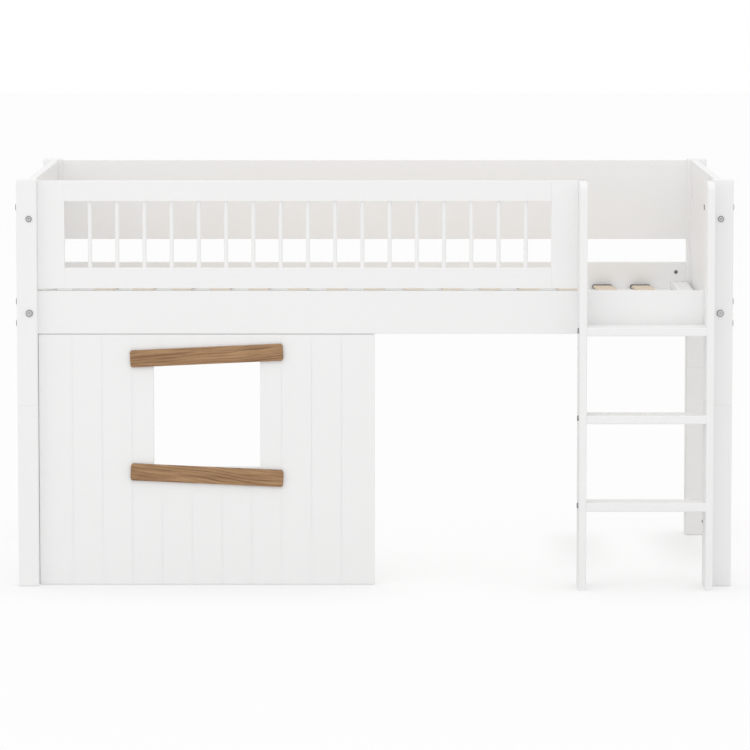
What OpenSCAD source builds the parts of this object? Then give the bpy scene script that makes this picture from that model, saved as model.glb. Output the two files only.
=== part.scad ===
// Cabin bed: a raised single bed with a spindle guard, a straight ladder and a play panel below it.
// X runs along the bed, Y from its front to its back, and Z up from the floor.

/* [Mattress space] */
// Length of the mattress
mattress_l = 2000; // [1600:1:2200]
// Width of the mattress
mattress_w = 900; // [700:1:1200]
// Clearance between the mattress and each side of the bed
mattress_gap = 2; // [1:0.5:20]

/* [Posts] */
// Side of the square posts
post_w = 60; // [50:1:80]
// Height of the posts above the long rails
side_h = 327; // [280:1:450]
// Height of the leg, the lower piece of each post
leg_h = 537; // [300:1:640]
// Radius of the long edges of the posts
post_edge_r = 4; // [1:0.5:10]
// Diameter of the stud that joins a leg to its post
stud_d = 10; // [6:0.5:16]
// Length of that stud
stud_l = 100; // [60:1:180]

/* [Boards] */
// Thickness of the rails, panels, guard and ladder uprights
board_t = 22; // [20:0.5:28]
// Radius of the long edges of the boards
board_edge_r = 1; // [0.5:0.5:4]
// Distance from the outer faces of the posts to the boards
set_back = 26; // [8:0.5:28]
// Height of the long rails
rail_h = 127; // [110:1:160]
// Height of the lower edge of the rails above the floor
rail_z = 746; // [700:1:780]
// Distance from the top of the posts down to the boards
top_drop = 3; // [0:0.5:20]
// Gap between the back rail and the upper back panel
back_gap = 74; // [20:1:110]

/* [Guard] */
// Gap between the front rail and the guard
guard_gap = 7; // [2:0.5:20]
// Width of the guard's stiles
stile_w = 79; // [60:1:120]
// Height of the guard's two rails
guard_rail_h = 60; // [40:1:90]
// Diameter of the spindles
spindle_d = 12; // [8:0.5:18]
// Distance from one spindle to the next
spindle_pitch = 80; // [60:1:100]
// Depth of the spindles' ends in the rails
spindle_seat = 12; // [6:0.5:25]
// Length of the tenons of the guard's rails
tenon_l = 20; // [10:0.5:40]
// Thickness of those tenons
tenon_t = 8; // [6:0.5:12]
// Distance from the edges of the guard's rails to their tenons
tenon_shoulder = 10; // [5:0.5:14]

/* [Ladder] */
// Length of the treads between the uprights
tread_l = 349; // [280:1:450]
// Depth of the treads from front to back
tread_d = 80; // [60:1:95]
// Thickness of the treads
tread_t = 25; // [20:0.5:35]
// Radius of the long edges of the treads
tread_edge_r = 3; // [0.5:0.5:8]
// Height of the top tread above the lower edge of the front rail
top_tread_up = 28.6; // [5:0.2:60]
// Distance from the front of the uprights to the treads
tread_inset = 3; // [0:0.5:15]
// Number of treads
tread_n = 3; // [2:1:4]
// Distance that the ladder stands out in front of the posts
ladder_out = 77; // [60:1:110]
// Width of the uprights from front to back
upright_d = 122; // [118:1:124]
// Radius of the uprights' upper front corner
upright_top_r = 25; // [5:1:50]
// Height of the screw that holds the ladder's foot to the post
foot_screw_z = 190; // [100:1:400]
// Distance of that screw from the front of the post
foot_screw_in = 24; // [20:1:30]

/* [Slatted base] */
// Height of the supports' upper face above the lower edge of the rails
ledge_up = 44; // [30:1:60]
// Height of the supports that carry the slats
ledge_h = 22; // [18:1:28]
// Depth of those supports
ledge_d = 25; // [22:1:40]
// Width of a slat
slat_w = 60; // [40:1:80]
// Thickness of a slat
slat_t = 9; // [6:0.5:14]
// Height by which the middle of a slat stands above its ends
slat_rise = 16; // [2:0.5:25]
// Distance from one slat to the next
slat_pitch = 120.4; // [108:0.2:160]
// Wall of the slats' end caps
cap_wall = 1.5; // [1.5:0.5:4]
// Depth of the slats' end caps
cap_d = 20; // [15:1:24]
// Width of the white bar at each end of the base
end_bar_w = 48; // [40:1:70]
// Thickness of that bar
end_bar_t = 22; // [18:1:32]

/* [Play panel] */
// Width of the play panel
panel_w = 989; // [700:1:1300]
// Gap between the panel and the post beside it
panel_side_gap = 1; // [1:0.5:10]
// Gap between the panel and the rail above it
panel_top_gap = 1.5; // [1:0.5:10]
// Gap between the panel and the floor
panel_floor_gap = 2; // [1.5:0.5:10]
// Distance from one groove to the next
groove_pitch = 88; // [60:1:140]
// Width of a groove
groove_w = 2; // [1.5:0.5:8]
// Depth of a groove
groove_depth = 1; // [0.5:0.5:4]
// Width of the window
window_w = 313; // [200:1:360]
// Height of the window
window_h = 330; // [200:1:380]
// Distance from the upper edge of the panel down to the window
window_drop = 74.5; // [60:0.5:200]
// Length of the oak battens above and below the window
batten_l = 450; // [420:1:520]
// Height of the battens
batten_h = 50; // [40:1:70]
// Thickness of the battens
batten_t = 10; // [8:0.5:14]
// Radius of the battens' corners
batten_r = 8; // [2:0.5:18]
// Distance from the edge of the window out to the middle of a batten
batten_out = 12.5; // [8:0.5:25]
// Tilt of the battens, in degrees
batten_tilt = 2.6; // [0:0.1:4]

/* [Fasteners] */
// Diameter of the bolts
bolt_d = 8; // [6:0.5:9]
// Height of the bolt heads
head_h = 4.5; // [2.5:0.5:6]
// Radius of the round edge of the bolt heads
head_edge_r = 1.5; // [0.5:0.5:2.5]
// Diameter of the heads of the bolts at the rails
head_d = 21; // [16:0.5:24]
// Diameter of the heads of the bolts near the top of the end panels
top_head_d = 18; // [15:0.5:22]
// Diameter of the heads of the bolts at the treads
tread_head_d = 17; // [14:0.5:20]
// Distance between bolts in the same post
bolt_pitch = 32; // [26:1:40]
// Distance from the top of the posts to their highest bolt
top_bolt_drop = 81; // [60:1:100]
// Diameter of the barrel nuts
nut_d = 12; // [11:0.5:14]
// Distance from the end of a board to its barrel nut
nut_inset = 34; // [25:1:50]
// Diameter of the sleeve nut that ends the ladder's bolt
sleeve_d = 11; // [10.5:0.5:14]
// Clearance of fasteners in their holes, across the diameter
bore_play = 0.5; // [0.2:0.1:0.8]

/* [Hidden] */
$fn = 48;
eps = 1;                 // overshoot of a cut past a face
fit_gap = 0.5;           // clearance between wooden pieces that slide together
bolt_tip = 8;            // length of a bolt past the middle of its barrel nut
nut_floor = 3;           // wood left under a barrel nut, and its depth below the face
socket_d = 6;            // hex socket in a bolt head, across its corners
socket_depth = 2.5;
sleeve_head_d = 16;      // flange of the sleeve nut
sleeve_head_h = 2.5;
sleeve_end = 4;          // distance from the sleeve nut's end to the face of the post
back_bolt_up = 40;       // lower bolts of the back panel, above its lower edge
screw_d = 4;
screw_head_d = 8;
screw_head_h = 3;
recess = [4, 1, 1.5];    // each arm of the cross in a screw head: length, width and depth
long_screw_l = 32;       // shank of the screws of the slatted base
batten_bite = 6;         // how far the screws of a batten reach into it
batten_screw_l = board_t - screw_head_h + batten_bite;
short_screw_l = 14;      // shank of the screws of the plates
foot_screw_d = 5;
foot_screw_head_d = 9;
foot_screw_l = 50;
ledge_screw_pitch = 300;
ledge_screw_in = 60;     // least distance of those screws from the ends of a support
plate = [40, 2.5, 60];   // steel plates that hang the play panel from the rail
plate_rise = 17;         // height of a plate above the lower edge of the rail
plate_screw_up = 9;      // screw in the rail, above the rail's lower edge
plate_screw_down = 18;   // screw in the panel, below its upper edge
plate_inset = 80;        // from an end of the panel to the middle of a plate
seat_gap = 1;            // slatted base to the boards around it
bend_steps = 1600;       // facets of a whole turn of the slats' wide arc
slat_edge_r = 3;
cap_edge_r = 5;
batten_screw_in = 38;    // screw of a batten from its end

frame_l = mattress_l + 2 * (mattress_gap + board_t + set_back);
frame_w = mattress_w + 2 * (mattress_gap + board_t + set_back);
span_x = frame_l / 2 - post_w;
span_y = frame_w / 2 - post_w;
board_out_y = frame_w / 2 - set_back;
board_in_y = board_out_y - board_t;
board_mid_y = board_out_y - board_t / 2;
board_mid_x = frame_l / 2 - set_back - board_t / 2;

rail_top = rail_z + rail_h;
post_h = rail_top + side_h;
rail_mid_z = rail_z + rail_h / 2;
board_top = post_h - top_drop;
top_bolt_z = post_h - top_bolt_drop;
back_panel_z = rail_top + back_gap;
rail_bolt_z = [rail_mid_z - bolt_pitch, rail_mid_z + bolt_pitch];
back_bolt_z = [back_panel_z + back_bolt_up, top_bolt_z];
end_bolt_z = [rail_mid_z, top_bolt_z - bolt_pitch];

bore_d = bolt_d + bore_play;
nut_l = board_t - 2 * nut_floor;
bolt_in_board = nut_inset + bolt_tip;

guard_z = rail_top + guard_gap;
guard_x0 = -span_x;
guard_x1 = span_x - 2 * board_t - tread_l;
guard_open_l = guard_x1 - guard_x0 - 2 * stile_w;
guard_mid_x = (guard_x0 + guard_x1) / 2;
guard_low_top = guard_z + guard_rail_h;
guard_high_z = board_top - guard_rail_h;
tenon_h = guard_rail_h - 2 * tenon_shoulder;
spindle_n = round(guard_open_l / spindle_pitch) - 1;

ladder_y = -frame_w / 2 - ladder_out;
tread_rise = (rail_z + top_tread_up) / tread_n;
tread_mid_y = ladder_y + tread_inset + tread_d / 2;
ladder_x = [guard_x1, span_x - board_t];
sleeve_l = board_t - sleeve_end;

ledge_z = rail_z + ledge_up;
ledge_in_y = board_in_y - ledge_d;
base_half_l = span_x - seat_gap;
ledge_screw_n = 1 + 2 * floor((base_half_l - ledge_screw_in) / ledge_screw_pitch);
end_bar_x = base_half_l - end_bar_w;
cap_h = slat_t + 2 * cap_wall;
cap_z = ledge_z + cap_h / 2;
cap_y = board_in_y - seat_gap - cap_d / 2;
slat_end_y = board_in_y - seat_gap - cap_wall;
bend_r = (pow(cap_y, 2) + pow(slat_rise, 2)) / (2 * slat_rise);
slat_n = floor((2 * end_bar_x - slat_w) / slat_pitch);

panel_x0 = -span_x + panel_side_gap;
panel_x1 = panel_x0 + panel_w;
panel_mid_x = (panel_x0 + panel_x1) / 2;
panel_top = rail_z - panel_top_gap;
groove_n = floor(panel_w / groove_pitch) - 1;
window_z = panel_top - window_drop - window_h / 2;
batten_up = window_h / 2 + batten_out;
plate_x = [panel_x0 + plate_inset, panel_mid_x, panel_x1 - plate_inset];

// The origin lies on the floor under the middle of the whole bed, with its ladder and bolt heads.
front_reach = frame_w / 2 + max(ladder_out, head_h);
back_reach = frame_w / 2 + head_h;
origin_shift = (front_reach - back_reach) / 2;

lacquer = [0.93, 0.93, 0.92];
oak = [0.62, 0.46, 0.32];
beech = [0.82, 0.68, 0.47];
steel = [0.45, 0.45, 0.46];
black = [0.07, 0.07, 0.07];

SLATS = [for (i = [1:slat_n]) str("slat_", i)];
TREADS = [for (i = [1:tread_n]) str("tread_", i)];

// ---- frames and shapes that several pieces share ----

// Colours a piece and moves it from the middle of the four posts to the origin.
module piece(colour) color(colour) translate([0, origin_shift, 0]) children();

// Turns what is drawn for the back right corner into the corner on the sides sx and sy.
module corner(sx, sy) mirror([sx < 0 ? 1 : 0, 0, 0]) mirror([0, sy < 0 ? 1 : 0, 0]) children();

module all_corners() for (sx = [-1, 1], sy = [-1, 1]) corner(sx, sy) children();

// A box from its limits along X, Y and Z.
module block(x, y, z)
    translate([x[0], y[0], z[0]])
        cube([x[1] - x[0], y[1] - y[0], z[1] - z[0]]);

// The outline of a w by h rectangle about its middle, with round corners.
function round_rect(w, h, r, steps = 6) = [
    for (c = [[1, 1, 0], [-1, 1, 90], [-1, -1, 180], [1, -1, 270]], k = [0:steps])
        let (angle = c[2] + 90 * k / steps)
        [c[0] * (w / 2 - r) + r * cos(angle), c[1] * (h / 2 - r) + r * sin(angle)]
];

// Boards from their limits along X, Y and Z, with round edges along their length, which runs
// along X, Y or Z.
module board_x(x, y, z)
    translate([x[0], (y[0] + y[1]) / 2, (z[0] + z[1]) / 2])
        rotate([90, 0, 90])
            linear_extrude(x[1] - x[0])
                polygon(round_rect(y[1] - y[0], z[1] - z[0], board_edge_r));

module board_y(x, y, z)
    translate([(x[0] + x[1]) / 2, y[1], (z[0] + z[1]) / 2])
        rotate([90, 0, 0])
            linear_extrude(y[1] - y[0])
                polygon(round_rect(x[1] - x[0], z[1] - z[0], board_edge_r));

module board_z(x, y, z)
    translate([(x[0] + x[1]) / 2, (y[0] + y[1]) / 2, z[0]])
        linear_extrude(z[1] - z[0])
            polygon(round_rect(x[1] - x[0], y[1] - y[0], board_edge_r));

// ---- bolted joints, each in a frame whose +X points into the board from its end, and whose +Y
// points to the face that its barrel nut goes in from ----

module rail_joints(z_list)
    for (z = z_list)
        translate([span_x, board_mid_y, z])
            rotate(180)
                children();

module back_panel_joints()
    for (z = back_bolt_z)
        translate([span_x, board_mid_y, z])
            mirror([1, 0, 0])
                children();

module end_joints(z_list)
    for (z = z_list)
        translate([board_mid_x, span_y, z])
            rotate(-90)
                mirror([0, 1, 0])
                    children();

module guard_post_joint() corner(-1, -1) rail_joints([top_bolt_z]) children();

module guard_ladder_joint()
    translate([guard_x1, -board_mid_y, top_bolt_z])
        mirror([1, 0, 0])
            children();

module tread_joint(i, side)
    translate([ladder_x[0] + board_t + (side < 0 ? 0 : tread_l), tread_mid_y, i * tread_rise - tread_t / 2])
        mirror([side < 0 ? 0 : 1, 0, 0])
            rotate([-90, 0, 0])
                children();

module joint_cuts(thickness) {
    translate([-eps, 0, 0])
        rotate([0, 90, 0])
            cylinder(d = bore_d, h = bolt_in_board + 2 * eps);
    translate([nut_inset, -nut_l / 2 - bore_play / 2, 0])
        rotate([-90, 0, 0])
            cylinder(d = nut_d + bore_play, h = (nut_l + bore_play + thickness) / 2 + eps);
}

module bolt(length, head)
    rotate([0, 90, 0])
        difference() {
            union() {
                cylinder(d = bolt_d, h = length);
                rotate_extrude()
                    polygon(concat(
                        [[0, 0], [0, -head_h]],
                        [for (a = [-90:15:0])
                            [head / 2 + head_edge_r * (cos(a) - 1), -head_h + head_edge_r * (1 + sin(a))]],
                        [[head / 2, 0]]
                    ));
            }
            translate([0, 0, -head_h - eps])
                cylinder(d = socket_d, h = socket_depth + eps, $fn = 6);
        }

module post_bolt(head) translate([-post_w, 0, 0]) bolt(post_w + bolt_in_board, head);

module barrel_nut()
    translate([nut_inset, 0, 0])
        difference() {
            rotate([90, 0, 0])
                cylinder(d = nut_d, h = nut_l, center = true);
            rotate([0, 90, 0])
                cylinder(d = bore_d, h = 2 * nut_d, center = true);
        }

// The cross in a screw head whose top lies at height z.
module cross_recess(z)
    for (turn = [0, 90])
        rotate(turn)
            translate([-recess[0] / 2, -recess[1] / 2, z - recess[2]])
                cube([recess[0], recess[1], recess[2] + eps]);

// A screw along +Z, with a round head that sits on the face at the origin.
module pan_screw(length, shank, head)
    difference() {
        union() {
            translate([0, 0, -length])
                cylinder(d = shank, h = length);
            cylinder(d = head, h = screw_head_h);
        }
        cross_recess(screw_head_h);
    }

// A screw along +Z, with a sunk head that lies flush with the face at the origin.
module sunk_screw(length)
    difference() {
        union() {
            translate([0, 0, -screw_head_h - length])
                cylinder(d = screw_d, h = length);
            translate([0, 0, -screw_head_h])
                cylinder(d1 = screw_d, d2 = screw_head_d, h = screw_head_h);
        }
        cross_recess(0);
    }

module sunk_screw_hole(length) {
    translate([0, 0, -length - screw_head_h - eps])
        cylinder(d = screw_d + bore_play, h = length + screw_head_h + eps);
    translate([0, 0, -screw_head_h])
        cylinder(d1 = screw_d + bore_play, d2 = screw_head_d + bore_play, h = screw_head_h);
    cylinder(d = screw_head_d + bore_play, h = eps);
}

// ---- posts ----

module post_prism(z0, z1)
    translate([frame_l / 2 - post_w / 2, frame_w / 2 - post_w / 2, z0])
        linear_extrude(z1 - z0)
            polygon(round_rect(post_w, post_w, post_edge_r));

module stud_bore()
    translate([frame_l / 2 - post_w / 2, frame_w / 2 - post_w / 2, leg_h - stud_l / 2 - eps])
        cylinder(d = stud_d + bore_play, h = stud_l + 2 * eps);

module through_post()
    translate([-post_w - eps, 0, 0])
        rotate([0, 90, 0])
            cylinder(d = bore_d, h = post_w + 2 * eps);

module foot_screw_frame()
    translate([span_x - board_t, -frame_w / 2 + foot_screw_in, foot_screw_z])
        rotate([0, -90, 0])
            children();

module foot_screw_hole()
    foot_screw_frame()
        translate([0, 0, -foot_screw_l - eps])
            cylinder(d = foot_screw_d + bore_play, h = foot_screw_l + 2 * eps);

module leg(sx, sy)
    piece(lacquer)
        difference() {
            corner(sx, sy)
                difference() {
                    post_prism(0, leg_h);
                    stud_bore();
                }
            foot_screw_hole();
        }

module post(sx, sy)
    piece(lacquer)
        corner(sx, sy)
            difference() {
                post_prism(leg_h, post_h);
                stud_bore();
                rail_joints(rail_bolt_z) through_post();
                end_joints(end_bolt_z) through_post();
                if (sy > 0)
                    back_panel_joints() through_post();
                else
                    rail_joints([top_bolt_z]) through_post();
            }

module leg_front_left() leg(-1, -1);
module leg_front_right() leg(1, -1);
module leg_back_left() leg(-1, 1);
module leg_back_right() leg(1, 1);
module post_front_left() post(-1, -1);
module post_front_right() post(1, -1);
module post_back_left() post(-1, 1);
module post_back_right() post(1, 1);

module post_studs()
    piece(steel)
        all_corners()
            translate([frame_l / 2 - post_w / 2, frame_w / 2 - post_w / 2, leg_h - stud_l / 2])
                cylinder(d = stud_d, h = stud_l);

// ---- boards between the posts ----

module end_panel(sx)
    piece(lacquer)
        difference() {
            corner(sx, 1)
                board_y(
                    [board_mid_x - board_t / 2, board_mid_x + board_t / 2], [-span_y, span_y],
                    [rail_z, board_top]
                );
            for (sy = [-1, 1])
                corner(sx, sy)
                    end_joints(end_bolt_z) joint_cuts(board_t);
        }

module end_panel_left() end_panel(-1);
module end_panel_right() end_panel(1);

module rail(sy)
    difference() {
        corner(1, sy)
            board_x([-span_x, span_x], [board_in_y, board_out_y], [rail_z, rail_top]);
        for (sx = [-1, 1])
            corner(sx, sy)
                rail_joints(rail_bolt_z) joint_cuts(board_t);
        ledge_screws(sy) sunk_screw_hole(long_screw_l);
    }

module front_rail()
    piece(lacquer)
        difference() {
            rail(-1);
            plate_screws(rail_z + plate_screw_up) short_screw_hole();
        }

module back_rail() piece(lacquer) rail(1);

module back_panel()
    piece(lacquer)
        difference() {
            board_x([-span_x, span_x], [board_in_y, board_out_y], [back_panel_z, board_top]);
            for (sx = [-1, 1])
                corner(sx, 1)
                    back_panel_joints() joint_cuts(board_t);
        }

// ---- guard ----

module guard_rail(z0, seat_z)
    difference() {
        union() {
            board_x(
                [guard_x0 + stile_w, guard_x1 - stile_w], [-board_out_y, -board_in_y],
                [z0, z0 + guard_rail_h]
            );
            guard_tenons(z0, 0);
        }
        spindle_row(seat_z, spindle_d + fit_gap, spindle_seat + eps);
    }

module guard_tenons(z0, play)
    block(
        [guard_x0 + stile_w - tenon_l - play, guard_x1 - stile_w + tenon_l + play],
        [-board_mid_y - tenon_t / 2 - play, -board_mid_y + tenon_t / 2 + play],
        [z0 + (guard_rail_h - tenon_h) / 2 - play, z0 + (guard_rail_h + tenon_h) / 2 + play]
    );

module spindle_row(z0, diameter, height)
    for (i = [0:spindle_n - 1])
        translate([guard_mid_x + (i - (spindle_n - 1) / 2) * spindle_pitch, -board_mid_y, z0])
            cylinder(d = diameter, h = height);

module stile(x0)
    difference() {
        board_z([x0, x0 + stile_w], [-board_out_y, -board_in_y], [guard_z, board_top]);
        guard_tenons(guard_z, fit_gap / 2);
        guard_tenons(guard_high_z, fit_gap / 2);
        guard_post_joint() joint_cuts(board_t);
        guard_ladder_joint() joint_cuts(board_t);
    }

module guard_bottom_rail() piece(lacquer) guard_rail(guard_z, guard_low_top - spindle_seat);
module guard_top_rail() piece(lacquer) guard_rail(guard_high_z, guard_high_z - eps);
module guard_stile_left() piece(lacquer) stile(guard_x0);
module guard_stile_right() piece(lacquer) stile(guard_x1 - stile_w);

module guard_spindles()
    piece(lacquer)
        spindle_row(
            guard_low_top - spindle_seat, spindle_d, guard_high_z - guard_low_top + 2 * spindle_seat
        );

// ---- ladder ----

// The side view of an upright, with its upper front corner round and a notch for the front rail.
module upright_outline()
    difference() {
        polygon(concat(
            [[ladder_y, 0], [ladder_y + upright_d, 0], [ladder_y + upright_d, post_h]],
            [for (a = [90:15:180])
                [ladder_y + upright_top_r * (1 + cos(a)), post_h + upright_top_r * (sin(a) - 1)]]
        ));
        translate([-board_out_y - fit_gap, rail_z - fit_gap])
            square([upright_d, rail_h + fit_gap]);
    }

module upright_blank(x0)
    translate([x0, 0, 0])
        rotate([90, 0, 90])
            linear_extrude(board_t)
                upright_outline();

module through_upright()
    translate([-board_t - eps, 0, 0])
        rotate([0, 90, 0])
            cylinder(d = bore_d, h = board_t + 2 * eps);

// Room for a bolt head that lies flush in the upright beside the post.
module sunk_head()
    translate([-board_t - eps, 0, 0])
        rotate([0, 90, 0])
            cylinder(d = tread_head_d + bore_play, h = head_h + eps);

module ladder_upright_left()
    piece(lacquer)
        difference() {
            upright_blank(ladder_x[0]);
            for (i = [1:tread_n])
                tread_joint(i, -1) through_upright();
            guard_ladder_joint() through_upright();
        }

module ladder_upright_right()
    piece(lacquer)
        difference() {
            upright_blank(ladder_x[1]);
            for (i = [1:tread_n])
                tread_joint(i, 1) {
                    through_upright();
                    sunk_head();
                }
            ladder_post_frame()
                translate([0, 0, -board_t - eps])
                    cylinder(d = sleeve_d + bore_play, h = board_t + 2 * eps);
            foot_screw_hole();
        }

module tread(i)
    piece(lacquer)
        difference() {
            translate([ladder_x[0] + board_t, tread_mid_y, i * tread_rise - tread_t / 2])
                rotate([90, 0, 90])
                    linear_extrude(tread_l)
                        polygon(round_rect(tread_d, tread_t, tread_edge_r));
            for (side = [-1, 1])
                tread_joint(i, side) joint_cuts(tread_t);
        }

// ---- slatted base ----

module ledge_screws(sy)
    for (i = [1:ledge_screw_n])
        translate([
            (i - (ledge_screw_n + 1) / 2) * ledge_screw_pitch, sy * ledge_in_y, ledge_z - ledge_h / 2
        ])
            rotate([sy * 90, 0, 0])
                children();

module end_bar_screws()
    for (sx = [-1, 1], sy = [-1, 1], u = [1 / 4, 3 / 4])
        translate([sx * (end_bar_x + u * end_bar_w), sy * (ledge_in_y + ledge_d / 2), ledge_z + end_bar_t])
            children();

module ledge(sy)
    piece(lacquer)
        difference() {
            corner(1, sy)
                board_x(
                    [-base_half_l, base_half_l], [ledge_in_y, board_in_y], [ledge_z - ledge_h, ledge_z]
                );
            ledge_screws(sy) sunk_screw_hole(long_screw_l);
            end_bar_screws() sunk_screw_hole(long_screw_l);
        }

module ledge_front() ledge(-1);
module ledge_back() ledge(1);

module end_bar(sx)
    piece(lacquer)
        difference() {
            corner(sx, 1)
                board_y(
                    [end_bar_x, base_half_l], [-board_in_y + seat_gap, board_in_y - seat_gap],
                    [ledge_z, ledge_z + end_bar_t]
                );
            end_bar_screws() sunk_screw_hole(long_screw_l);
        }

module end_bar_left() end_bar(-1);
module end_bar_right() end_bar(1);

function slat_x(i) = (i - (slat_n + 1) / 2) * slat_pitch;

// A slat bent to an arc, or the hollow for it: it passes through the middles of both end caps.
module bent_bar(play) {
    half_angle = asin((slat_end_y + play / 2) / bend_r);
    translate([0, 0, slat_rise - bend_r])
        rotate([90, 0, 90])
            rotate(90 - half_angle)
                rotate_extrude(angle = 2 * half_angle, $fn = bend_steps)
                    translate([bend_r, 0])
                        polygon(round_rect(slat_t + play, slat_w + play, slat_edge_r));
}

module slat(i)
    piece(beech)
        translate([slat_x(i), 0, cap_z])
            bent_bar(0);

module cap_blank()
    translate([0, cap_d / 2, 0])
        rotate([90, 0, 0])
            linear_extrude(cap_d)
                polygon(round_rect(slat_w + 2 * cap_wall, cap_h, cap_edge_r));

module slat_caps()
    piece(black)
        for (i = [1:slat_n])
            translate([slat_x(i), 0, cap_z])
                difference() {
                    for (sy = [-1, 1])
                        translate([0, sy * cap_y, 0])
                            cap_blank();
                    bent_bar(fit_gap);
                }

// ---- play panel ----

module plate_screws(z)
    for (x = plate_x)
        translate([x, -board_in_y + plate[1], z])
            rotate([-90, 0, 0])
                children();

module short_screw() pan_screw(short_screw_l, screw_d, screw_head_d);

module short_screw_hole()
    translate([0, 0, -short_screw_l - eps])
        cylinder(d = screw_d + bore_play, h = short_screw_l + 2 * eps);

// Turns the frame to a batten's middle: side is 1 above the window and -1 below it.
module batten_frame(side)
    translate([panel_mid_x, -board_out_y, window_z + side * batten_up])
        rotate([0, -side * batten_tilt, 0])
            children();

// Screws through the panel from behind, near both ends of a batten.
module batten_screws(side)
    batten_frame(side)
        for (sx = [-1, 1])
            translate([sx * (batten_l / 2 - batten_screw_in), board_t, 0])
                rotate([-90, 0, 0])
                    children();

module batten(side)
    piece(oak)
        difference() {
            batten_frame(side)
                rotate([90, 0, 0])
                    linear_extrude(batten_t)
                        polygon(round_rect(batten_l, batten_h, batten_r));
            batten_screws(side) sunk_screw_hole(batten_screw_l);
        }

module batten_upper() batten(1);
module batten_lower() batten(-1);

module grooves()
    for (i = [0:groove_n - 1])
        translate([panel_mid_x + (i - (groove_n - 1) / 2) * groove_pitch, -board_out_y, 0])
            linear_extrude(panel_top + eps)
                polygon([
                    [-groove_w / 2, 0], [-groove_w / 2, -eps], [groove_w / 2, -eps], [groove_w / 2, 0],
                    [0, groove_depth]
                ]);

module play_panel()
    piece(lacquer)
        difference() {
            block([panel_x0, panel_x1], [-board_out_y, -board_in_y], [panel_floor_gap, panel_top]);
            translate([panel_mid_x - window_w / 2, -board_out_y - eps, window_z - window_h / 2])
                cube([window_w, board_t + 2 * eps, window_h]);
            grooves();
            batten_screws(1) sunk_screw_hole(batten_screw_l);
            batten_screws(-1) sunk_screw_hole(batten_screw_l);
            plate_screws(panel_top - plate_screw_down) short_screw_hole();
        }

module panel_plates()
    piece(lacquer)
        difference() {
            for (x = plate_x)
                translate([x - plate[0] / 2, -board_in_y, rail_z + plate_rise - plate[2]])
                    cube(plate);
            plate_screws(rail_z + plate_screw_up) short_screw_hole();
            plate_screws(panel_top - plate_screw_down) short_screw_hole();
        }

// ---- fasteners ----

module side_bolts()
    piece(steel) {
        all_corners()
            rail_joints(rail_bolt_z) post_bolt(head_d);
        for (sx = [-1, 1])
            corner(sx, 1)
                back_panel_joints() post_bolt(head_d);
        guard_post_joint() post_bolt(head_d);
    }

module end_bolts()
    piece(steel)
        all_corners() {
            end_joints([end_bolt_z[0]]) post_bolt(head_d);
            end_joints([end_bolt_z[1]]) post_bolt(top_head_d);
        }

module barrel_nuts()
    piece(steel) {
        all_corners() {
            rail_joints(rail_bolt_z) barrel_nut();
            end_joints(end_bolt_z) barrel_nut();
        }
        for (sx = [-1, 1])
            corner(sx, 1)
                back_panel_joints() barrel_nut();
        guard_post_joint() barrel_nut();
        guard_ladder_joint() barrel_nut();
        for (i = [1:tread_n], side = [-1, 1])
            tread_joint(i, side) barrel_nut();
    }

module guard_ladder_bolt()
    piece(steel)
        guard_ladder_joint()
            translate([-board_t, 0, 0])
                bolt(board_t + bolt_in_board, head_d);

module tread_bolts()
    piece(steel)
        for (i = [1:tread_n]) {
            tread_joint(i, -1)
                translate([-board_t, 0, 0])
                    bolt(board_t + bolt_in_board, tread_head_d);
            tread_joint(i, 1)
                translate([-board_t + head_h, 0, 0])
                    bolt(board_t - head_h + bolt_in_board, tread_head_d);
        }

// The bolt that holds the ladder to the front right post, along +Z from the upright's inner face.
module ladder_post_frame()
    translate([ladder_x[1], -board_mid_y, top_bolt_z])
        rotate([0, -90, 0])
            children();

module ladder_post_bolt()
    piece(steel)
        translate([frame_l / 2, -board_mid_y, top_bolt_z])
            mirror([1, 0, 0])
                bolt(post_w + sleeve_l, head_d);

module ladder_post_nut()
    piece(steel)
        ladder_post_frame()
            difference() {
                union() {
                    cylinder(d = sleeve_head_d, h = sleeve_head_h);
                    translate([0, 0, -sleeve_l])
                        cylinder(d = sleeve_d, h = sleeve_l);
                }
                translate([0, 0, -sleeve_l - eps])
                    cylinder(d = bore_d, h = sleeve_l + eps);
            }

module ladder_foot_screw()
    piece(steel)
        foot_screw_frame()
            pan_screw(foot_screw_l, foot_screw_d, foot_screw_head_d);

module short_screws()
    piece(steel) {
        plate_screws(rail_z + plate_screw_up) short_screw();
        plate_screws(panel_top - plate_screw_down) short_screw();
    }

module long_screws()
    piece(steel) {
        for (sy = [-1, 1])
            ledge_screws(sy) sunk_screw(long_screw_l);
        end_bar_screws() sunk_screw(long_screw_l);
        for (side = [-1, 1])
            batten_screws(side) sunk_screw(batten_screw_l);
    }

leg_front_left();
leg_front_right();
leg_back_left();
leg_back_right();
post_front_left();
post_front_right();
post_back_left();
post_back_right();
post_studs();
end_panel_left();
end_panel_right();
front_rail();
back_rail();
back_panel();
guard_top_rail();
guard_bottom_rail();
guard_stile_left();
guard_stile_right();
guard_spindles();
ladder_upright_left();
ladder_upright_right();
for (i = [1:tread_n]) tread(i);
ledge_front();
ledge_back();
end_bar_left();
end_bar_right();
slat_caps();
for (i = [1:slat_n]) slat(i);
play_panel();
batten_upper();
batten_lower();
panel_plates();
side_bolts();
end_bolts();
barrel_nuts();
guard_ladder_bolt();
tread_bolts();
ladder_post_bolt();
ladder_post_nut();
ladder_foot_screw();
short_screws();
long_screws();
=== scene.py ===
"""The looks of a cabin bed: a raised single bed with a spindle guard, a ladder and a play panel."""

import math

import bmesh
import bpy
from mathutils import Matrix, Vector


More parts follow.
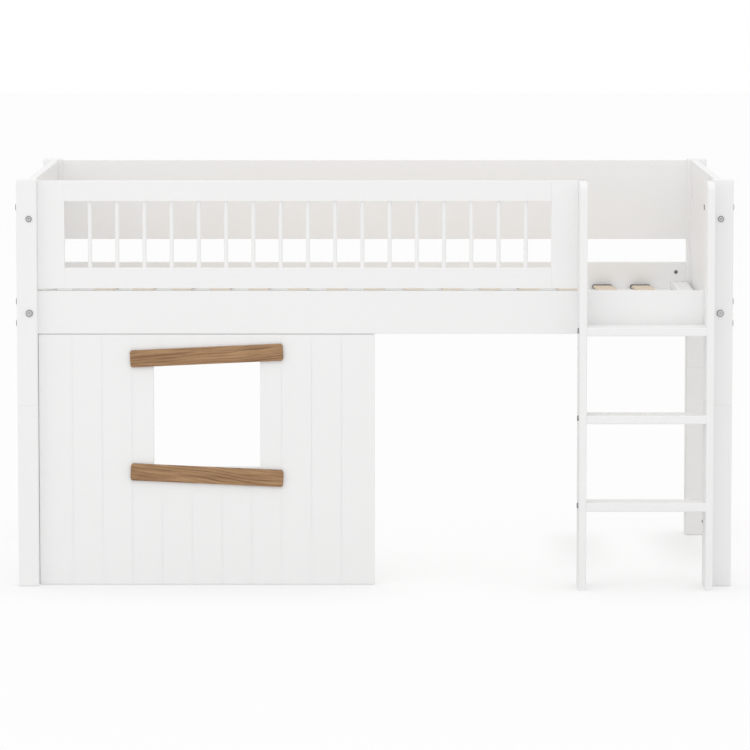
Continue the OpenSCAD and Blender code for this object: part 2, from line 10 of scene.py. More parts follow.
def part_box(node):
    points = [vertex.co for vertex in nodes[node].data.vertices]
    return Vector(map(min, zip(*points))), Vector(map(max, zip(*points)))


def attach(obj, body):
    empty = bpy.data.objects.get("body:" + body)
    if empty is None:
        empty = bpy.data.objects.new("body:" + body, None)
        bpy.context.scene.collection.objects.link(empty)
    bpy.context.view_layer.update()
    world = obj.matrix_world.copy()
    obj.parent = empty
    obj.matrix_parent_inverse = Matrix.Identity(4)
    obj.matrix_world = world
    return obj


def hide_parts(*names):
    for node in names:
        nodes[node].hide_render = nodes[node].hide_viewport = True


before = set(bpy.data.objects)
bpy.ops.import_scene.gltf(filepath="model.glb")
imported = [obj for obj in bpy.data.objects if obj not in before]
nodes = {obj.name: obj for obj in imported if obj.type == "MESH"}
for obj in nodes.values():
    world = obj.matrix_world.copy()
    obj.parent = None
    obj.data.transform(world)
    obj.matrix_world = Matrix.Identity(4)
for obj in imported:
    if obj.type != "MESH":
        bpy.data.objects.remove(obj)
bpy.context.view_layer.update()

MM = 0.001
X, Y, Z = range(3)


# ---- shader maths ----


class Signal:
    """What a node puts out. Arithmetic on it adds Math nodes, and numbers alone stay numbers."""

    def __init__(self, shading, socket):
        self.shading = shading
        self.socket = socket

    def math(self, operation, *values):
        return self.shading.node("ShaderNodeMath", {"operation": operation}, dict(enumerate(values)))

    def __add__(self, other):
        return self.math("ADD", self, other)

    def __radd__(self, other):
        return self.math("ADD", other, self)

    def __sub__(self, other):
        return self.math("SUBTRACT", self, other)

    def __rsub__(self, other):
        return self.math("SUBTRACT", other, self)

    def __mul__(self, other):
        return self.math("MULTIPLY", self, other)

    def __rmul__(self, other):
        return self.math("MULTIPLY", other, self)

    def __pow__(self, power):
        return self.math("POWER", self, power)

    def larger(self, other):
        return self.math("MAXIMUM", self, other)

    def sine(self):
        return self.math("SINE", self)

    def without_sign(self):
        return self.math("ABSOLUTE", self)

    def between(self, low, high):
        """0 below low, 1 above high and a smooth step from one to the other."""
        return self.shading.node(
            "ShaderNodeMapRange",
            {"interpolation_type": "SMOOTHSTEP", "clamp": True},
            {"Value": self, "From Min": low, "From Max": high, "To Min": 0.0, "To Max": 1.0},
        )


class Shading:
    """The node tree of a material or of the world."""

    def __init__(self, tree):
        self.tree = tree

    def node(self, kind, settings, inputs, out=0):
        """Adds a node: its settings first, then what its sockets take. Returns the signal at out."""
        added = self.tree.nodes.new(kind)
        for setting, value in settings.items():
            setattr(added, setting, value)
        for socket, value in inputs.items():
            if isinstance(value, Signal):
                self.tree.links.new(value.socket, added.inputs[socket])
            else:
                added.inputs[socket].default_value = value
        return Signal(self, added.outputs[out])

    def seen_by_eye(self):
        """1 for the camera and for what mirrors or shows through, so that these see the white ground."""
        eye, mirror, glass = (
            self.node("ShaderNodeLightPath", {}, {}, ray)
            for ray in ("Is Camera Ray", "Is Glossy Ray", "Is Transmission Ray")
        )
        return eye.larger(mirror).larger(glass)


# The colour sockets of a Mix node, which shares its socket names between kinds of data.
MIX_SHARE, MIX_FIRST, MIX_SECOND, MIX_RESULT = 0, 6, 7, 2


class Finish(Shading):
    """A material around one Principled shader, which reads the piece's own coordinates."""

    def __init__(self, name, **plain):
        self.material = bpy.data.materials.new(name)
        self.material.use_nodes = True
        super().__init__(self.material.node_tree)
        self.shader = self.tree.nodes["Principled BSDF"]
        for socket, value in plain.items():
            self.shader.inputs[socket.replace("_", " ")].default_value = value
        self.place = self.node("ShaderNodeTexCoord", {}, {}, "Object")

    def turned(self, centre=(0, 0, 0), turn=(0, 0, 0), scale=(1, 1, 1)):
        """The piece's coordinates about a centre, turned and then stretched."""
        moved = self.node(
            "ShaderNodeMapping", {"vector_type": "TEXTURE"},
            {"Vector": self.place, "Location": centre, "Rotation": turn},
        )
        return self.node("ShaderNodeMapping", {"vector_type": "POINT"}, {"Vector": moved, "Scale": scale})

    def along(self, vector, axis):
        """One coordinate of a vector, by the axis's letter."""
        return self.node("ShaderNodeSeparateXYZ", {}, {"Vector": vector}, axis)

    def noise(self, where, scale=1.0, detail=2.0, roughness=0.5, distortion=0.0):
        return self.node(
            "ShaderNodeTexNoise", {"noise_dimensions": "3D"},
            {
                "Vector": where, "Scale": scale, "Detail": detail,
                "Roughness": roughness, "Distortion": distortion,
            },
        )

    def blend(self, share, first, second):
        """A colour from first to second, by share."""
        first, second = ((*side, 1) if isinstance(side, tuple) else side for side in (first, second))
        return self.node(
            "ShaderNodeMix", {"data_type": "RGBA", "clamp_factor": True},
            {MIX_SHARE: share, MIX_FIRST: first, MIX_SECOND: second}, MIX_RESULT,
        )

    def wear(self, height, depth, **channels):
        """Sets the relief, whose height signal spans depth in metres, and the other channels."""
        channels["Normal"] = self.node(
            "ShaderNodeBump", {}, {"Height": height, "Distance": depth, "Strength": 1.0}
        )
        for socket, signal in channels.items():
            self.tree.links.new(signal.socket, self.shader.inputs[socket.replace("_", " ")])
        return self.material


# ---- finishes ----
# A scale says how many patches of a pattern fit in a metre, along X, Y and Z where it has three numbers.

LACQUER_SHADE, LACQUER_LIGHT = (0.905, 0.905, 0.903), (0.925, 0.925, 0.923)
LACQUER_RELIEF = 0.04 * MM
FIBRES_ALONG = {"X": (1, 14, 14), "Y": (14, 1, 14), "Z": (14, 14, 1)}


def white_lacquer(grain):
    """Sprayed satin lacquer over wood, with the grain along X, Y or Z just showing through."""
    finish = Finish("white_lacquer_along_" + grain.lower(), Specular_IOR_Level=0.4)
    fibres = finish.turned(scale=FIBRES_ALONG[grain])
    cloud = finish.noise(finish.place, scale=2.6, detail=3.0)
    fibre = finish.noise(fibres, scale=24.0, detail=4.0, roughness=0.6, distortion=0.4)
    peel = finish.noise(finish.place, scale=340.0, detail=1.0)
    return finish.wear(
        fibre * 0.35 + peel * 0.65, LACQUER_RELIEF,
        Base_Color=finish.blend(cloud * 0.7 + fibre * 0.3, LACQUER_SHADE, LACQUER_LIGHT),
        Roughness=0.40 + cloud * 0.10 + fibre * 0.06,
    )


OAK_DARK, OAK_PALE = (0.280, 0.152, 0.070), (0.485, 0.295, 0.154)
OAK_RING, OAK_FLECK, OAK_PORE = (0.140, 0.068, 0.029), (0.23, 0.12, 0.06), (0.12, 0.06, 0.03)
OAK_RELIEF = 0.09 * MM
RING_RATE = 680.0
RING_DRIFT = 0.03
RING_THIN = 4.5
RING_SHADE = 0.75
FLECK_SHADE = 0.2
PORE_SHADE = 0.3


def oiled_oak(name, centre, tilt, slant, seed):
    """Oiled oak: broad dark growth lines that run out at a slant, fine streaks and short pores."""
    finish = Finish(name, Specular_IOR_Level=0.35)
    x, y, z = centre

    def in_wood(scale, slide=0.0):
        """Coordinates along the fibres, slid so that no two patterns keep step."""
        return finish.turned((x + slide, y, z), (0, tilt + slant, 0), scale)

    across = finish.along(in_wood((1, 1, 1)), "Z")
    drift = finish.noise(in_wood((4.5, 6, 22), -seed), detail=1.0)
    rings = ((across + drift * RING_DRIFT) * RING_RATE).sine() * 0.5 + 0.5
    streak = finish.noise(in_wood((7, 130, 130), seed), detail=4.0, roughness=0.62, distortion=0.3)
    broken = finish.noise(in_wood((9, 40, 70), 2 * seed)).between(0.32, 0.62)
    fine = finish.noise(in_wood((40, 900, 900)), roughness=0.6)
    pores = finish.noise(in_wood((90, 1500, 1500)), detail=1.0).between(0.62, 0.72)
    body = finish.blend(streak.between(0.25, 0.75), OAK_DARK, OAK_PALE)
    lines = finish.blend(rings ** RING_THIN * broken * RING_SHADE, body, OAK_RING)
    flecked = finish.blend(fine.between(0.45, 0.75) * FLECK_SHADE, lines, OAK_FLECK)
    return finish.wear(
        fine * 0.5 + (1 - pores) * 0.5, OAK_RELIEF,
        Base_Color=finish.blend(pores * PORE_SHADE, flecked, OAK_PORE),
        Roughness=0.50 + streak * 0.14 + pores * 0.12,
    )


BIRCH_DARK, BIRCH_PALE, BIRCH_FLECK = (0.63, 0.50, 0.365), (0.85, 0.735, 0.585), (0.42, 0.29, 0.17)
BIRCH_RELIEF = 0.06 * MM
BIRCH_FLECK_SHADE = 0.3


def slat_birch():
    """Glued layers of pale wood with a thin clear finish, each slat a little different."""
    finish = Finish("pale_slat_wood", Specular_IOR_Level=0.4)
    each = finish.noise(finish.turned(scale=(9, 0.2, 0.2)), detail=0.0)
    grain = finish.noise(finish.turned(scale=(120, 4, 160)), detail=4.0, roughness=0.6, distortion=0.5)
    fleck = finish.noise(finish.turned(scale=(700, 50, 700)), detail=1.0).between(0.6, 0.74)
    body = finish.blend(grain * 0.7 + each * 0.3, BIRCH_DARK, BIRCH_PALE)
    return finish.wear(
        grain * 0.7 + (1 - fleck) * 0.3, BIRCH_RELIEF,
        Base_Color=finish.blend(fleck * BIRCH_FLECK_SHADE, body, BIRCH_FLECK),
        Roughness=0.42 + grain * 0.16,
    )


# The caps' black also stands in for the shadow round the slat ends, as painted shadow.
PLASTIC_DARK, PLASTIC_SCUFFED = (0.010, 0.010, 0.011), (0.022, 0.022, 0.023)
PLASTIC_RELIEF = 0.05 * MM


def cap_plastic():
    """Black moulded plastic with a fine spark-eroded surface, for the caps on the slat ends; their black is
    also painted shadow for the dark line round the slat ends.
    """
    finish = Finish("black_cap_plastic_and_painted_shadow", Specular_IOR_Level=0.35)
    pebble = finish.noise(finish.place, scale=900.0)
    scuff = finish.noise(finish.place, scale=40.0, detail=3.0)
    return finish.wear(
        pebble, PLASTIC_RELIEF,
        Base_Color=finish.blend(scuff, PLASTIC_DARK, PLASTIC_SCUFFED), Roughness=0.48 + scuff * 0.18,
    )


STEEL_RELIEF = 0.02 * MM


def zinc_steel(name, dark, light, roughness):
    """Zinc-plated steel with a soft, slightly uneven sheen."""
    finish = Finish(name, Metallic=1.0)
    cloud = finish.noise(finish.place, scale=160.0, detail=3.0, roughness=0.6)
    brushed = finish.noise(finish.place, scale=1400.0)
    return finish.wear(
        brushed * 0.6 + cloud * 0.4, STEEL_RELIEF,
        Base_Color=finish.blend(cloud, dark, light), Roughness=roughness + cloud * 0.14,
    )


COAT_SHADE, COAT_LIGHT = (0.80, 0.80, 0.795), (0.85, 0.85, 0.845)
COAT_RELIEF = 0.06 * MM


def painted_steel():
    """White powder coat on the small hanging plates."""
    finish = Finish("white_powder_coat", Specular_IOR_Level=0.4)
    pebble = finish.noise(finish.place, scale=700.0)
    cloud = finish.noise(finish.place, scale=20.0)
    return finish.wear(
        pebble, COAT_RELIEF,
        Base_Color=finish.blend(cloud, COAT_SHADE, COAT_LIGHT), Roughness=0.42 + cloud * 0.1,
    )


lacquer_x, lacquer_y, lacquer_z = (white_lacquer(grain) for grain in "XYZ")
slat_wood = slat_birch()
black_caps_and_painted_shadow = cap_plastic()
bolt_face = zinc_steel("zinc_bolt_face", (0.54, 0.54, 0.55), (0.66, 0.66, 0.67), 0.28)
# The rim is a darker copy of the face's zinc: painted shade for the dark room that a rounded rim would
# reflect.
bolt_rim_painted_shade = zinc_steel("zinc_rim_painted_shade", (0.29, 0.29, 0.30), (0.40, 0.40, 0.41), 0.42)
screw_steel = zinc_steel("zinc_screw_steel", (0.30, 0.30, 0.31), (0.46, 0.46, 0.47), 0.28)
dark_steel = zinc_steel("dull_nut_steel", (0.16, 0.16, 0.16), (0.26, 0.26, 0.26), 0.45)
plate_coat = painted_steel()


# ---- joinery ----

# Points closer than TOUCH are one point, and SLACK is how far one may stray from a place that is looked for.
TOUCH = 1e-6
SLACK = 1e-5
# The share of an edge or a normal that has to point along an axis.
MOSTLY = 0.9
TURN_STEPS = 24
FLAT_FACE_WEIGHT = 90


class Piece:
    """A piece of the bed while it is cut to shape."""

    def __init__(self):
        self.cut = bmesh.new()

    def edges(self, *tests):
        return [e for e in self.cut.edges if all(test(*(v.co for v in e.verts)) for test in tests)]

    def ease(self, edges, radius, steps=4):
        """Rounds the given edges."""
        bmesh.ops.bevel(
            self.cut, geom=edges, offset=radius, offset_type="OFFSET", segments=steps,
            profile=0.5, affect="EDGES", material=-1, clamp_overlap=True,
        )

    def saw(self, point, normal):
        """Scores a line all round the piece."""
        bmesh.ops.bisect_plane(
            self.cut, geom=self.cut.verts[:] + self.cut.edges[:] + self.cut.faces[:],
            plane_co=point, plane_no=normal, dist=TOUCH,
        )

    def place(self, matrix, verts=None):
        bmesh.ops.transform(self.cut, matrix=matrix, verts=verts or self.cut.verts[:])

    def turn(self, profile, seat, facing, rim):
        """Adds a lathe-turned part whose (radius, height) profile spins about a line from the seat.

        Faces above the seat and further out than the rim take the second material, the darker zinc that is
        painted shade on the rim. A ring as wide as the hex socket is pressed to a hexagon.
        """
        earlier = set(self.cut.verts)
        line = [self.cut.verts.new((radius, 0, height)) for radius, height in profile]
        edges = [self.cut.edges.new(pair) for pair in zip(line, line[1:])]
        bmesh.ops.spin(
            self.cut, geom=line + edges, cent=(0, 0, 0), axis=(0, 0, 1), angle=math.tau,
            steps=TURN_STEPS, use_merge=True,
        )
        fresh = [v for v in self.cut.verts if v not in earlier]
        bmesh.ops.remove_doubles(self.cut, verts=fresh, dist=TOUCH)
        fresh = [v for v in self.cut.verts if v not in earlier]
        for face in {face for v in fresh for face in v.link_faces}:
            centre = face.calc_center_median()
            if centre.z > 0 and centre.xy.length > rim:
                face.material_index = 1
        for v in fresh:
            if v.co.z > -SOCKET_DEPTH and abs(v.co.xy.length - SOCKET / 2) < TOUCH:
                v.co.xy *= hexagon(math.atan2(v.co.y, v.co.x))
        turned = Vector(facing).to_track_quat("Z", "Y").to_matrix().to_4x4()
        self.place(Matrix.Translation(seat) @ turned, fresh)

    def done(self, name, materials, slot, *replaced):
        """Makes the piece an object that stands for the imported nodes."""
        bmesh.ops.recalc_face_normals(self.cut, faces=self.cut.faces[:])
        for face in self.cut.faces:
            face.smooth = True
        mesh = bpy.data.meshes.new(name)
        self.cut.to_mesh(mesh)
        self.cut.free()
        for material in materials:
            mesh.materials.append(material)
        piece = bpy.data.objects.new(name, mesh)
        bpy.context.scene.collection.objects.link(piece)
        shading = piece.modifiers.new("even_faces", "WEIGHTED_NORMAL")
        shading.mode = "FACE_AREA_WITH_ANGLE"
        shading.weight = FLAT_FACE_WEIGHT
        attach(piece, "root")
        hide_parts(*replaced)


def board(low, high):
    """A plank between two corners."""
    plank = Piece()
    size = Vector(high) - Vector(low)
    bmesh.ops.create_cube(
        plank.cut, size=1.0,
        matrix=Matrix.Translation((Vector(high) + Vector(low)) / 2) @ Matrix.Diagonal((*size, 1)),
    )
    return plank


def middle(node):
    """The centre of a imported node."""
    low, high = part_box(node)
    return (low + high) / 2


def runs(axis):
    """An edge that runs along an axis."""
    return lambda a, b: abs((a - b)[axis]) > MOSTLY * (a - b).length


def lies_at(axis, value):
    """An edge that lies in the plane where the axis has a value."""
    return lambda a, b: abs(a[axis] - value) < SLACK and abs(b[axis] - value) < SLACK


# ---- legs and posts ----

POST_EDGE = 4 * MM
TOP_EDGE = 0.8 * MM
FOOT_EDGE = 3 * MM
JOINT_EDGE = 1 * MM


def square_post(name, node, lower_edge, upper_edge):
    low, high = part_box(node)
    post = board(low, high)
    post.ease(post.edges(runs(Z)), POST_EDGE)
    post.ease(post.edges(lies_at(Z, low.z)), lower_edge, steps=3)
    post.ease(post.edges(lies_at(Z, high.z)), upper_edge, steps=3)
    post.done(name, [lacquer_z], "white_lacquer", node)


for side in ("front_left", "front_right", "back_left", "back_right"):
    square_post("lower_leg_" + side, "leg_" + side, FOOT_EDGE, JOINT_EDGE)
    square_post("upper_post_" + side, "post_" + side, JOINT_EDGE, TOP_EDGE)


# ---- the ladder's uprights: planks with a round upper front corner, let into the front rail ----

UPRIGHT_TOP = 25 * MM
UPRIGHT_TOP_STEPS = 10
UPRIGHT_EDGE = 3 * MM
NOTCH_PLAY = 0.5 * MM


def upright(name, node):
    low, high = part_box(node)
    rail_low, rail_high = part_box("front_rail")
    notch_y = rail_low.y - NOTCH_PLAY
    notch_z = rail_low.z - NOTCH_PLAY
    side_view = [
        (low.y, low.z), (high.y, low.z), (high.y, notch_z), (notch_y, notch_z),
        (notch_y, rail_high.z), (high.y, rail_high.z), (high.y, high.z), (low.y, high.z),
    ]
    plank = Piece()
    corners = [plank.cut.verts.new((low.x, y, z)) for y, z in side_view]
    plank.cut.faces.new(corners)
    bmesh.ops.bevel(
        plank.cut, geom=corners[-1:], offset=UPRIGHT_TOP, offset_type="OFFSET",
        segments=UPRIGHT_TOP_STEPS, profile=0.5, affect="VERTICES", material=-1,
    )
    pulled = bmesh.ops.extrude_face_region(plank.cut, geom=plank.cut.faces[:])
    bmesh.ops.translate(
        plank.cut, vec=(high.x - low.x, 0, 0),
        verts=[v for v in pulled["geom"] if isinstance(v, bmesh.types.BMVert)],
    )
    bmesh.ops.recalc_face_normals(plank.cut, faces=plank.cut.faces[:])

    def off_notch(a, b):
        """An edge outside the notch, whose own edges stay sharp."""
        point = (a + b) / 2
        beside_rail = notch_z - NOTCH_PLAY < point.z < rail_high.z + NOTCH_PLAY
        return not (beside_rail and point.y > notch_y - SLACK)

    outer_edges = [e for x in (low.x, high.x) for e in plank.edges(lies_at(X, x), off_notch)]
    plank.ease(outer_edges, UPRIGHT_EDGE)
    plank.done(name, [lacquer_z], "white_lacquer", node)


upright("ladder_plank_left", "ladder_upright_left")
upright("ladder_plank_right", "ladder_upright_right")


# ---- the play panel: upright grooves in its face and a square window ----

GROOVES = 10
GROOVE_PITCH = 88 * MM
GROOVE_W = 2 * MM
GROOVE_DEPTH = 1 * MM
WINDOW_W = 313 * MM
WINDOW_H = 320 * MM
WINDOW_DROP = 74.5 * MM
PANEL_EDGE = 1 * MM
# The angle between two faces, in radians, from which their edge is eased.
SHARP = 1.0


def cut_window(panel, centre_x, top):
    sides = (centre_x - WINDOW_W / 2, centre_x + WINDOW_W / 2)
    bottom = top - WINDOW_H
    for x in sides:
        panel.saw((x, 0, 0), (1, 0, 0))
    for z in (bottom, top):
        panel.saw((0, 0, z), (0, 0, 1))
    opening = []
    for face in panel.cut.faces:
        centre = face.calc_center_median()
        if abs(face.normal.y) > MOSTLY and sides[0] < centre.x < sides[1] and bottom < centre.z < top:
            opening.append(face)
    bmesh.ops.delete(panel.cut, geom=opening, context="FACES_ONLY")
    bmesh.ops.bridge_loops(panel.cut, edges=[e for e in panel.cut.edges if e.is_boundary])
    bmesh.ops.recalc_face_normals(panel.cut, faces=panel.cut.faces[:])


def cut_grooves(panel, centre_x, face_y):
    """Scores three lines for each groove and sinks the middle one."""
    for groove in range(GROOVES):
        x = centre_x + (groove - (GROOVES - 1) / 2) * GROOVE_PITCH
        for shift in (-GROOVE_W / 2, 0, GROOVE_W / 2):
            panel.saw((x + shift, 0, 0), (1, 0, 0))
        sunk = [
            v for v in panel.cut.verts
            if abs(v.co.x - x) < SLACK and v.co.y < face_y + PANEL_EDGE + SLACK
        ]
        bmesh.ops.translate(panel.cut, vec=(0, GROOVE_DEPTH, 0), verts=sunk)


def play_panel():
    low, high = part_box("play_panel")
    centre_x = (low.x + high.x) / 2
    panel = board(low, high)
    cut_window(panel, centre_x, high.z - WINDOW_DROP)
    corners = [e for e in panel.cut.edges if len(e.link_faces) == 2 and e.calc_face_angle(0) > SHARP]
    panel.ease(corners, PANEL_EDGE, steps=3)
    cut_grooves(panel, centre_x, low.y)
    panel.done("grooved_play_panel", [lacquer_z], "white_lacquer", "play_panel")


play_panel()


# ---- the oak battens, tilted either way above and below the window ----

BATTEN = Vector((450, 10, 50)) * MM
BATTEN_CORNER = 8 * MM
BATTEN_EDGE = 2.2 * MM
BATTEN_TILT = math.radians(2.6)


def oak_batten(name, node, tilt, slant, seed):
    centre = middle(node)
    batten = board(-BATTEN / 2, BATTEN / 2)
    batten.ease(batten.edges(runs(Y)), BATTEN_CORNER, steps=8)
    batten.ease(batten.edges(lies_at(Y, -BATTEN.y / 2)), BATTEN_EDGE, steps=5)
    batten.place(Matrix.Translation(centre) @ Matrix.Rotation(tilt, 4, "Y"))
    oak = oiled_oak(name + "_grain", tuple(centre), tilt, slant, seed)
    batten.done(name, [oak], "oak", node)


oak_batten("oak_batten_upper", "batten_upper", -BATTEN_TILT, slant=math.radians(-2.5), seed=0.31)
oak_batten("oak_batten_lower", "batten_lower", BATTEN_TILT, slant=math.radians(4.0), seed=1.73)


# ---- the bolts: a plain shank and a low head with a wide rim in darker zinc as painted shade, a flat face and a hex socket ----

HEAD_H = 4.5 * MM
HEAD_RIM = 2.8 * MM
# The share of a head's height that is a straight wall, below the round rim.
HEAD_WALL = 0.3
RIM_STEPS = 4
SHANK = 8 * MM
SOCKET = 6 * MM
SOCKET_DEPTH = 2.5 * MM
RAIL_HEAD = 21 * MM
TOP_HEAD = 18 * MM
TREAD_HEAD = 17 * MM
POST_BOLT = 102 * MM
LADDER_BOLT = 64 * MM
FIXING_BOLT = 78 * MM
HOLE_STEP = 32 * MM
LOWER_BOLT_UP = 40 * MM
UPPER_BOLT_DOWN = 78 * MM
LEFT, RIGHT, FRONT, BACK = (-1, 0, 0), (1, 0, 0), (0, -1, 0), (0, 1, 0)


def hexagon(angle):
    """How far a hexagon reaches at an angle, as a share of its corners' reach."""
    return math.cos(math.pi / 6) / math.cos(angle % (math.pi / 3) - math.pi / 6)


def head_profile(head, rim, height, socket_depth):
    """The head's outline from its seat, up a short wall, over the rim and the face to the socket's floor."""
    rounded = []
    for step in range(RIM_STEPS + 1):
        angle = math.pi / 2 * step / RIM_STEPS
        rise = HEAD_WALL + (1 - HEAD_WALL) * math.sin(angle)
        rounded.append((head / 2 - rim * (1 - math.cos(angle)), height * rise))
    floor = height - socket_depth
    return [(head / 2, 0), *rounded, (SOCKET / 2, height), (SOCKET / 2, floor), (0, floor)]


def bolts(name, node, *placed):
    """Bolts, each given by its seat, the way its head faces, the head's width and its length."""
    piece = Piece()
    for seat, facing, head, length in placed:
        shank = [(0, -length), (SHANK / 2, -length), (SHANK / 2, 0)]
        outline = shank + head_profile(head, HEAD_RIM, HEAD_H, SOCKET_DEPTH)
        piece.turn(outline, seat, facing, head / 2 - HEAD_RIM)
    piece.done(name, [bolt_face, bolt_rim_painted_shade], "steel", node)


# Where the bolts sit, worked out from the pieces that they hold.
near_corner, far_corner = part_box("post_front_left")[0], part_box("post_back_right")[1]
front_y, back_y = middle("front_rail").y, middle("back_rail").y
end_panel_xs = [middle(panel).x for panel in ("end_panel_left", "end_panel_right")]
post_sides = ((near_corner.x, LEFT), (far_corner.x, RIGHT))
rail_z = middle("front_rail").z
lower_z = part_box("back_panel")[0].z + LOWER_BOLT_UP
upper_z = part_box("back_panel")[1].z - UPPER_BOLT_DOWN
left_upright, right_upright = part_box("ladder_upright_left"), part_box("ladder_upright_right")
treads = [middle(f"tread_{i}") for i in (1, 2, 3)]

bolts(
    "post_side_bolts", "side_bolts",
    *[
        ((x, y, z), way, RAIL_HEAD, POST_BOLT)
        for x, way in post_sides for y in (front_y, back_y)
        for z in (rail_z - HOLE_STEP, rail_z + HOLE_STEP)
    ],
    *[((x, back_y, z), way, RAIL_HEAD, POST_BOLT) for x, way in post_sides for z in (lower_z, upper_z)],
    ((near_corner.x, front_y, upper_z), LEFT, RAIL_HEAD, POST_BOLT),
)
bolts(
    "post_face_bolts", "end_bolts",
    *[
        ((x, y, z), way, head, POST_BOLT)
        for x in end_panel_xs for y, way in ((near_corner.y, FRONT), (far_corner.y, BACK))
        for z, head in ((rail_z, RAIL_HEAD), (upper_z - HOLE_STEP, TOP_HEAD))
    ],
)
# The right upright stands against the post, so its bolt heads are sunk.
bolts(
    "ladder_tread_bolts", "tread_bolts",
    *[((left_upright[0].x, tread.y, tread.z), LEFT, TREAD_HEAD, LADDER_BOLT) for tread in treads],
    *[
        ((right_upright[1].x - HEAD_H, tread.y, tread.z), RIGHT, TREAD_HEAD, LADDER_BOLT - HEAD_H)
        for tread in treads
    ],
)
bolts(
    "guard_end_bolt", "guard_ladder_bolt",
    ((left_upright[1].x, front_y, upper_z), RIGHT, RAIL_HEAD, LADDER_BOLT),
)
bolts(
    "ladder_fixing_bolt", "ladder_post_bolt",
    ((far_corner.x, front_y, upper_z), RIGHT, RAIL_HEAD, FIXING_BOLT),
)

# The sleeve nut that the ladder's fixing bolt ends in.
NUT_FLANGE = 16 * MM
NUT_FLANGE_H = 2.5 * MM
NUT_RIM = 1.2 * MM
NUT_SOCKET_DEPTH = 1.5 * MM
NUT_BARREL = 11 * MM
NUT_BORE = 8.5 * MM
NUT_FLOOR = 2 * MM
NUT_L = 18 * MM


def sleeve_nut():
    piece = Piece()
    barrel = [
        (0, -NUT_FLOOR), (NUT_BORE / 2, -NUT_FLOOR), (NUT_BORE / 2, -NUT_L),
        (NUT_BARREL / 2, -NUT_L), (NUT_BARREL / 2, 0),
    ]
    flange = head_profile(NUT_FLANGE, NUT_RIM, NUT_FLANGE_H, NUT_SOCKET_DEPTH)
    seat = (right_upright[0].x, front_y, upper_z)
    piece.turn(barrel + flange, seat, LEFT, NUT_FLANGE / 2 - NUT_RIM)
    piece.done("ladder_sleeve_nut", [bolt_face, bolt_rim_painted_shade], "steel", "ladder_post_nut")


sleeve_nut()


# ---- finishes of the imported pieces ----

FINISHES = {
    lacquer_x: (
        "front_rail", "back_rail", "back_panel", "guard_top_rail", "guard_bottom_rail",
        "tread_1", "tread_2", "tread_3", "ledge_front", "ledge_back",
    ),
    lacquer_y: ("end_panel_left", "end_panel_right", "end_bar_left", "end_bar_right"),
    lacquer_z: ("guard_stile_left", "guard_stile_right", "guard_spindles"),
    slat_wood: tuple(f"slat_{i}" for i in range(1, 16)),
    black_caps_and_painted_shadow: ("slat_caps",),
    screw_steel: ("ladder_foot_screw", "short_screws", "long_screws", "post_studs"),
    dark_steel: ("barrel_nuts",),
    plate_coat: ("panel_plates",),
}

for material, names in FINISHES.items():
    for name in names:
        for slot in nodes[name].material_slots:
            slot.material = material


# ---- floor ----

WHITE = (1, 1, 1, 1)
FLOOR_PAINT = (0.80, 0.80, 0.80, 1)
FLOOR_HALF = 30.0
# The share of white glow that the eye sees on open floor and where the bed shades it most; less glow near
# the bed is painted shade.
OPEN_GLOW = 0.92
SHADED_GLOW = 0.58
MOST_SHADED = 0.5
SHADE_SAMPLES = 16
SHADE_REACH = 0.4
UNDER_REACH = 0.75
# Where the painted shade under the bed begins and ends, in metres from the bed's middle.
UNDER_FRONT = (-0.52, -0.40)
DEEP_FRONT = (-0.40, 0.30)
DEEP_BACK = (0.38, 0.62)
END_INSIDE = (0.80, 1.0)
END_OUTSIDE = (1.0, 1.1)
# Strengths of the painted shade put on the floor by position, beside the ladder and at the bed's end.
END_PAINTED_SHADE = 0.38
LADDER_PAINTED_SHADE = 0.22
LADDER_SHADE_X = 0.64
LADDER_SHADE_SPREAD = 0.15


def floor_shade(finish):
    """How open each spot of the floor is, and the painted shade laid by position beside the ladder and under
    the bed's end.
    """
    near, wide = (
        finish.node(
            "ShaderNodeAmbientOcclusion", {"samples": SHADE_SAMPLES}, {"Distance": reach}, "AO"
        )
        for reach in (SHADE_REACH, UNDER_REACH)
    )
    across = finish.along(finish.place, "X")
    depth = finish.along(finish.place, "Y")
    # Less openness means less white glow: painted shade near the bed.
    clear = near + (wide - near) * depth.between(*UNDER_FRONT)
    ladder_painted_shade = 1 - (across - LADDER_SHADE_X).without_sign().between(0.0, LADDER_SHADE_SPREAD)
    end_painted_shade = across.between(*END_INSIDE) * (1 - across.between(*END_OUTSIDE))
    under = depth.between(*DEEP_FRONT) * (1 - depth.between(*DEEP_BACK))
    return clear, (ladder_painted_shade * LADDER_PAINTED_SHADE + end_painted_shade * END_PAINTED_SHADE) * under


def studio_floor():
    """A pale floor that the eye sees as white, with the bed's soft shade on it, its glow lowered near the
    bed by openness and by position as painted shade.
    """
    grid = bmesh.new()
    bmesh.ops.create_grid(grid, x_segments=1, y_segments=1, size=FLOOR_HALF)
    mesh = bpy.data.meshes.new("pale_floor")
    grid.to_mesh(mesh)
    grid.free()
    floor = bpy.data.objects.new("pale_floor", mesh)
    bpy.context.scene.collection.objects.link(floor)
    finish = Finish("pale_floor", Base_Color=FLOOR_PAINT, Roughness=0.9, Specular_IOR_Level=0.1)
    glow = finish.node("ShaderNodeEmission", {}, {"Color": WHITE, "Strength": 1.0})
    clear, shade = floor_shade(finish)
    glowing = finish.node(
        "ShaderNodeMapRange", {"clamp": True},
        {
            "Value": clear, "From Min": MOST_SHADED, "From Max": 1.0,
            "To Min": SHADED_GLOW, "To Max": OPEN_GLOW,
        },
    )
    share = finish.seen_by_eye() * glowing * (1 - shade)
    paint = Signal(finish, finish.shader.outputs["BSDF"])
    mixed = finish.node("ShaderNodeMixShader", {}, {0: share, 1: paint, 2: glow})
    finish.tree.links.new(mixed.socket, finish.tree.nodes["Material Output"].inputs["Surface"])
    mesh.materials.append(finish.material)


studio_floor()


# ---- light ----

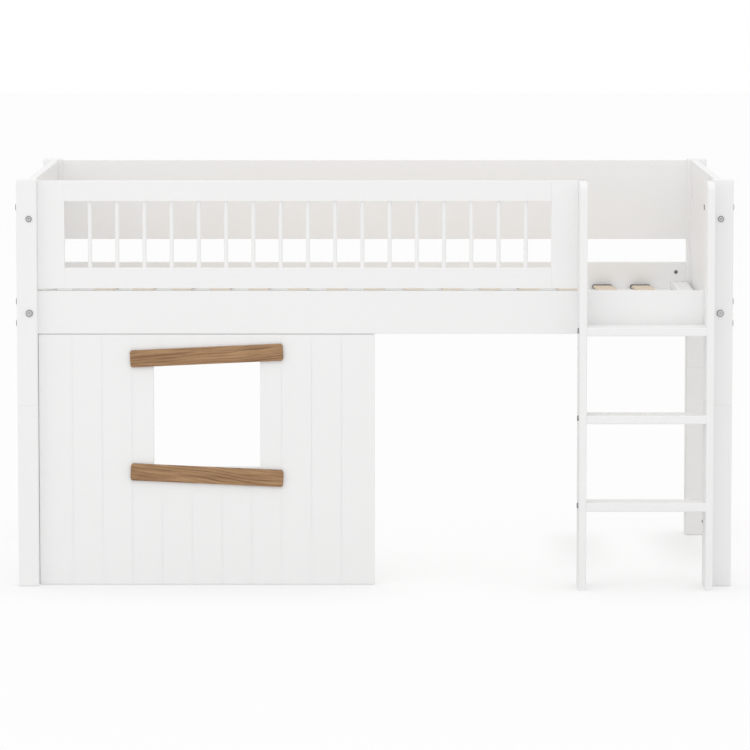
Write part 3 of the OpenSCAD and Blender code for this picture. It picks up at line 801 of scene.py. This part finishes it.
WORLD_LIGHT = 0.915


def white_studio():
    """An even light all round, which the eye sees as white."""
    world = bpy.data.worlds.new("white_studio")
    bpy.context.scene.world = world
    world.use_nodes = True
    sky = Shading(world.node_tree)
    level = sky.node(
        "ShaderNodeMapRange", {},
        {"Value": sky.seen_by_eye(), "To Min": WORLD_LIGHT, "To Max": 1.0},
    )
    background = sky.tree.nodes["Background"]
    background.inputs["Color"].default_value = WHITE
    sky.tree.links.new(level.socket, background.inputs["Strength"])


def soft_light(name, place, aim, size, power):
    lamp = bpy.data.lights.new(name, "AREA")
    lamp.shape = "RECTANGLE"
    lamp.size, lamp.size_y = size
    lamp.energy = power
    light = bpy.data.objects.new(name, lamp)
    bpy.context.scene.collection.objects.link(light)
    light.location = place
    light.rotation_euler = (Vector(aim) - Vector(place)).to_track_quat("-Z", "Y").to_euler()
    light.visible_camera = False


white_studio()
soft_light("high_softbox", place=(0, -4.5, 7.0), aim=(0, 0, 0.6), size=(7.0, 5.0), power=44)
soft_light("front_softbox", place=(0, -7.0, 4.5), aim=(0, 0, 0.6), size=(7.0, 4.0), power=26)
soft_light("left_softbox", place=(-6.0, -4.0, 3.5), aim=(0, 0, 0.8), size=(4.0, 4.0), power=26)


# ---- camera: places in metres, its angle in degrees, film sizes in millimetres ----

EYE = (0, -11.8581, 2.0015)
LOOKING_DOWN = 4.885
FOCAL_LENGTH = 187.51
SENSOR = 36
SHIFT = (0.0003, -0.1811)
FARTHEST = 100


def photo_camera():
    """The photo's view, from far in front and a little above."""
    lens = bpy.data.cameras.new("photo_camera")
    lens.lens = FOCAL_LENGTH
    lens.sensor_width = SENSOR
    lens.shift_x, lens.shift_y = SHIFT
    lens.clip_end = FARTHEST
    camera = bpy.data.objects.new("photo_camera", lens)
    bpy.context.scene.collection.objects.link(camera)
    camera.location = EYE
    camera.rotation_euler = (math.radians(90 - LOOKING_DOWN), 0, 0)
    bpy.context.scene.camera = camera


photo_camera()
bpy.context.scene.view_settings.view_transform = "Standard"
